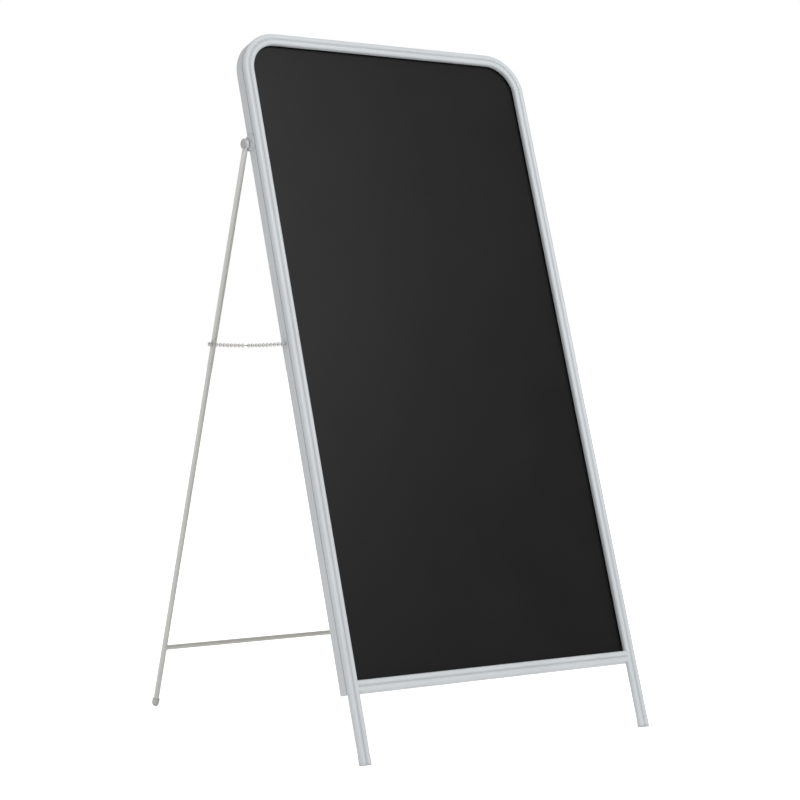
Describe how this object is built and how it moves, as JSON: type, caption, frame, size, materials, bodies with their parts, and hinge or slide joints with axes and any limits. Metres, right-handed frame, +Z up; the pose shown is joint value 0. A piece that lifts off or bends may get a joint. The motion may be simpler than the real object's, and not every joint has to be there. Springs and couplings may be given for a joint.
{
  "type": "sandwich board",
  "caption": "Folding A-frame chalkboard sign: leaning grooved tube frame with a recessed black writing sheet, hinged rear leg of two rods with a crossbar, and side chains that hold it open.",
  "frame": {"origin": "on the ground at the middle of the open board's footprint", "axes": "+Z up, +X to the viewer's right when facing the writing face, which looks towards -Y; the rear leg is on the +Y side"},
  "size_m": [0.6344, 0.6793, 1.1963],
  "materials": {
    "frame_paint": "satin powder coat, pale grey white",
    "retainer_paint": "satin powder coat, pale grey white",
    "chalkboard": "matt black writing sheet",
    "backing": "raw hardboard",
    "front_foot_plastic": "moulded, pale grey white",
    "rear_foot_plastic": "moulded, grey",
    "rod_paint": "satin coat, warm grey",
    "knob": "satin coat, grey",
    "bright_fasteners": "zinc plated",
    "chain_steel": "zinc plated"
  },
  "bodies": {
    "front_frame": {"front_hoop": "frame_paint", "bottom_bar": "frame_paint", "casing_hoop": "frame_paint", "casing_bottom_rail": "frame_paint", "chalkboard": "chalkboard", "backing_board": "backing", "board_retainer": "retainer_paint", "retainer_screws": "bright_fasteners", "front_foot_left": "front_foot_plastic", "front_foot_right": "front_foot_plastic", "hinge_plate_left": "frame_paint", "hinge_plate_right": "frame_paint", "hinge_plate_rivets": "bright_fasteners", "pivot_stud_left": "bright_fasteners", "pivot_stud_right": "bright_fasteners", "pivot_spacer_left": "knob", "pivot_spacer_right": "knob", "pivot_washer_left": "bright_fasteners", "pivot_washer_right": "bright_fasteners", "pivot_cap_nut_left": "knob", "pivot_cap_nut_right": "knob", "chain_screw_left": "bright_fasteners", "chain_screw_right": "bright_fasteners"},
    "rear_leg": {"leg_rod_left": "rod_paint", "leg_rod_right": "rod_paint", "leg_crossbar": "rod_paint", "rear_foot_left": "rear_foot_plastic", "rear_foot_right": "rear_foot_plastic", "chain_rivet_left": "bright_fasteners", "chain_rivet_right": "bright_fasteners"},
    "chain_front_left": {"chain_front_left": "chain_steel", "chain_middle_left": "chain_steel"},
    "chain_rear_left": {"chain_rear_left": "chain_steel"},
    "chain_front_right": {"chain_front_right": "chain_steel", "chain_middle_right": "chain_steel"},
    "chain_rear_right": {"chain_rear_right": "chain_steel"}
  },
  "joints": [
    {"name": "leg_fold", "type": "hinge", "parent": "front_frame", "child": "rear_leg", "pos_m": [0, 0.00513, 1.00021], "axis": [-1, 0, 0], "range_deg": [0, 35.4]},
    {"name": "chain_front_left_swing", "type": "hinge", "parent": "front_frame", "child": "chain_front_left", "pos_m": [0, -0.11349, 0.66224], "axis": [-1, 0, 0], "range_deg": [0, 108.5]},
    {"name": "chain_rear_left_swing", "type": "hinge", "parent": "rear_leg", "child": "chain_rear_left", "pos_m": [0, 0.11691, 0.66224], "axis": [1, 0, 0], "range_deg": [0, 97.7]},
    {"name": "chain_front_right_swing", "type": "hinge", "parent": "front_frame", "child": "chain_front_right", "pos_m": [0, -0.11349, 0.66224], "axis": [-1, 0, 0], "range_deg": [0, 108.5]},
    {"name": "chain_rear_right_swing", "type": "hinge", "parent": "rear_leg", "child": "chain_rear_right", "pos_m": [0, 0.11691, 0.66224], "axis": [1, 0, 0], "range_deg": [0, 97.7]}
  ],
  "couplings": [
    {"joint": "chain_front_left_swing", "follows": "leg_fold", "ratio": 3.0635},
    {"joint": "chain_rear_left_swing", "follows": "leg_fold", "ratio": 2.7582},
    {"joint": "chain_front_right_swing", "follows": "leg_fold", "ratio": 3.0635},
    {"joint": "chain_rear_right_swing", "follows": "leg_fold", "ratio": 2.7582}
  ]
}
